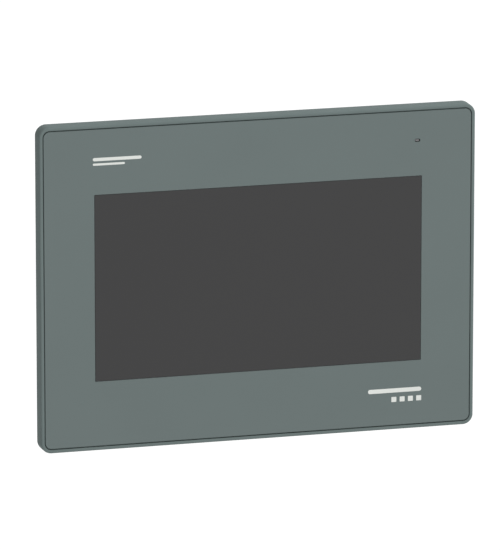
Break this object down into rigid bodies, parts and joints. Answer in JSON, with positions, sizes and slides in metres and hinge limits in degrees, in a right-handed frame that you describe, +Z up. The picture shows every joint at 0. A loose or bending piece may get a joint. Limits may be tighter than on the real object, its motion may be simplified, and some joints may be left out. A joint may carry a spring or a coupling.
{
  "type": "hmi touch panel",
  "caption": "Flush-mount wide-screen operator touch panel: grey-green bezel, dark display window, rear case with connectors and toe clamps for a control-panel cut-out.",
  "frame": {"origin": "centre of the panel cut-out, in the plane of the control panel's front surface, which is the rear face of the bezel's flange", "axes": "+X to the operator's right, +Y from the operator into the cabinet (the display faces -Y), +Z up"},
  "size_m": [0.2066, 0.0368, 0.152],
  "materials": {
    "bezel_plastic": "fine matte grain, grey-green",
    "printed_sheet": "matt printed polyester, grey-green",
    "display_window": "matt anti-glare film, dark grey when unlit",
    "touch_glass": "clear",
    "status_lens": "milky light pipe, unlit",
    "led_chip": "phosphor",
    "circuit_board": "green solder mask",
    "gasket_rubber": "black foam rubber",
    "sheet_steel": "zinc-plated sheet",
    "lcd_glass": "dark polariser",
    "light_guide": "milky acrylic",
    "flex_film": "amber polyimide",
    "white_plastic": "off-white moulding",
    "zinc_screws": "bright zinc plating",
    "brass": "machined",
    "chip_black": "moulded epoxy",
    "capacitor_can": "bare can",
    "black_plastic": "moulded",
    "bright_steel": "nickel plated",
    "green_plastic": "moulded polyamide",
    "connector_shell": "tinned sheet",
    "case_plastic": "textured dark grey moulding",
    "label_foil": "silver-grey polyester, left blank",
    "clamp_metal": "die-cast zinc, tumbled"
  },
  "bodies": {
    "panel_unit": {"front_bezel": "bezel_plastic", "front_overlay": "printed_sheet", "display_window": "display_window", "touch_film": "touch_glass", "touch_glass": "touch_glass", "status_lens": "status_lens", "status_led": "led_chip", "indicator_board": "circuit_board", "panel_gasket": "gasket_rubber", "lcd_gasket": "gasket_rubber", "lcd_frame": "sheet_steel", "lcd_cell": "lcd_glass", "light_guide": "light_guide", "backlight_strip": "led_chip", "lcd_tray": "sheet_steel", "flex_cables": "flex_film", "flex_connectors": "white_plastic", "chassis_plate": "sheet_steel", "chassis_screws": "zinc_screws", "board_standoffs": "brass", "main_board": "circuit_board", "board_screws": "zinc_screws", "processor_chip": "chip_black", "memory_chips": "chip_black", "power_inductors": "chip_black", "board_capacitors": "capacitor_can", "battery_holder": "black_plastic", "coin_cell": "bright_steel", "buzzer": "black_plastic", "power_header": "green_plastic", "network_socket": "connector_shell", "usb_host_socket": "connector_shell", "usb_device_socket": "connector_shell", "serial_shell": "connector_shell", "serial_insert": "black_plastic", "serial_pins": "brass", "jack_screws": "zinc_screws", "rear_case": "case_plastic", "case_screws": "zinc_screws", "clamp_inserts": "brass", "rating_label": "label_foil"},
    "battery_cover": {"battery_cover": "case_plastic"},
    "power_plug": {"power_plug": "green_plastic", "plug_contacts": "brass"},
    "terminal_screw_left": {"terminal_screw_left": "zinc_screws"},
    "wire_cage_left": {"wire_cage_left": "brass"},
    "terminal_screw_middle": {"terminal_screw_middle": "zinc_screws"},
    "wire_cage_middle": {"wire_cage_middle": "brass"},
    "terminal_screw_right": {"terminal_screw_right": "zinc_screws"},
    "wire_cage_right": {"wire_cage_right": "brass"},
    "clamp_jaw_top_left": {"clamp_jaw_top_left": "clamp_metal"},
    "clamp_screw_top_left": {"clamp_screw_top_left": "zinc_screws"},
    "clamp_jaw_top_right": {"clamp_jaw_top_right": "clamp_metal"},
    "clamp_screw_top_right": {"clamp_screw_top_right": "zinc_screws"},
    "clamp_jaw_bottom_left": {"clamp_jaw_bottom_left": "clamp_metal"},
    "clamp_screw_bottom_left": {"clamp_screw_bottom_left": "zinc_screws"},
    "clamp_jaw_bottom_right": {"clamp_jaw_bottom_right": "clamp_metal"},
    "clamp_screw_bottom_right": {"clamp_screw_bottom_right": "zinc_screws"}
  },
  "joints": [
    {"name": "battery_cover_pull", "type": "slide", "parent": "panel_unit", "child": "battery_cover", "axis": [0, 1, 0], "range_m": [0, 0.02]},
    {"name": "power_plug_pull", "type": "slide", "parent": "panel_unit", "child": "power_plug", "axis": [0, 0, -1], "range_m": [0, 0.015]},
    {"name": "wire_cage_left_rise", "type": "slide", "parent": "power_plug", "child": "wire_cage_left", "axis": [0, 1, 0], "range_m": [0, 0.00225]},
    {"name": "terminal_screw_left_turn", "type": "hinge", "parent": "power_plug", "child": "terminal_screw_left", "pos_m": [-0.07708, 0.0234, -0.0643], "axis": [0, -1, 0], "range_deg": [0, 1620.01]},
    {"name": "wire_cage_middle_rise", "type": "slide", "parent": "power_plug", "child": "wire_cage_middle", "axis": [0, 1, 0], "range_m": [0, 0.00225]},
    {"name": "terminal_screw_middle_turn", "type": "hinge", "parent": "power_plug", "child": "terminal_screw_middle", "pos_m": [-0.072, 0.0234, -0.0643], "axis": [0, -1, 0], "range_deg": [0, 1620.01]},
    {"name": "wire_cage_right_rise", "type": "slide", "parent": "power_plug", "child": "wire_cage_right", "axis": [0, 1, 0], "range_m": [0, 0.00225]},
    {"name": "terminal_screw_right_turn", "type": "hinge", "parent": "power_plug", "child": "terminal_screw_right", "pos_m": [-0.06692, 0.0234, -0.0643], "axis": [0, -1, 0], "range_deg": [0, 1620.01]},
    {"name": "clamp_jaw_top_left_slide", "type": "slide", "parent": "panel_unit", "child": "clamp_jaw_top_left", "axis": [0, 1, 0], "range_m": [-0.0009, 0.0036]},
    {"name": "clamp_screw_top_left_turn", "type": "hinge", "parent": "clamp_jaw_top_left", "child": "clamp_screw_top_left", "pos_m": [-0.05, 0.01235, 0.0628], "axis": [0, 1, 0], "range_deg": [-462.87, 1851.44]},
    {"name": "clamp_jaw_top_right_slide", "type": "slide", "parent": "panel_unit", "child": "clamp_jaw_top_right", "axis": [0, 1, 0], "range_m": [-0.0009, 0.0036]},
    {"name": "clamp_screw_top_right_turn", "type": "hinge", "parent": "clamp_jaw_top_right", "child": "clamp_screw_top_right", "pos_m": [0.05, 0.01235, 0.0628], "axis": [0, 1, 0], "range_deg": [-462.87, 1851.44]},
    {"name": "clamp_jaw_bottom_left_slide", "type": "slide", "parent": "panel_unit", "child": "clamp_jaw_bottom_left", "axis": [0, 1, 0], "range_m": [-0.0009, 0.0036]},
    {"name": "clamp_screw_bottom_left_turn", "type": "hinge", "parent": "clamp_jaw_bottom_left", "child": "clamp_screw_bottom_left", "pos_m": [-0.05, 0.01235, -0.0628], "axis": [0, 1, 0], "range_deg": [-462.87, 1851.44]},
    {"name": "clamp_jaw_bottom_right_slide", "type": "slide", "parent": "panel_unit", "child": "clamp_jaw_bottom_right", "axis": [0, 1, 0], "range_m": [-0.0009, 0.0036]},
    {"name": "clamp_screw_bottom_right_turn", "type": "hinge", "parent": "clamp_jaw_bottom_right", "child": "clamp_screw_bottom_right", "pos_m": [0.05, 0.01235, -0.0628], "axis": [0, 1, 0], "range_deg": [-462.87, 1851.44]}
  ],
  "couplings": [
    {"joint": "terminal_screw_left_turn", "follows": "wire_cage_left_rise", "rad_per_m": 12566},
    {"joint": "terminal_screw_middle_turn", "follows": "wire_cage_middle_rise", "rad_per_m": 12566},
    {"joint": "terminal_screw_right_turn", "follows": "wire_cage_right_rise", "rad_per_m": 12566},
    {"joint": "clamp_screw_top_left_turn", "follows": "clamp_jaw_top_left_slide", "rad_per_m": 8976},
    {"joint": "clamp_screw_top_right_turn", "follows": "clamp_jaw_top_right_slide", "rad_per_m": 8976},
    {"joint": "clamp_screw_bottom_left_turn", "follows": "clamp_jaw_bottom_left_slide", "rad_per_m": 8976},
    {"joint": "clamp_screw_bottom_right_turn", "follows": "clamp_jaw_bottom_right_slide", "rad_per_m": 8976}
  ]
}
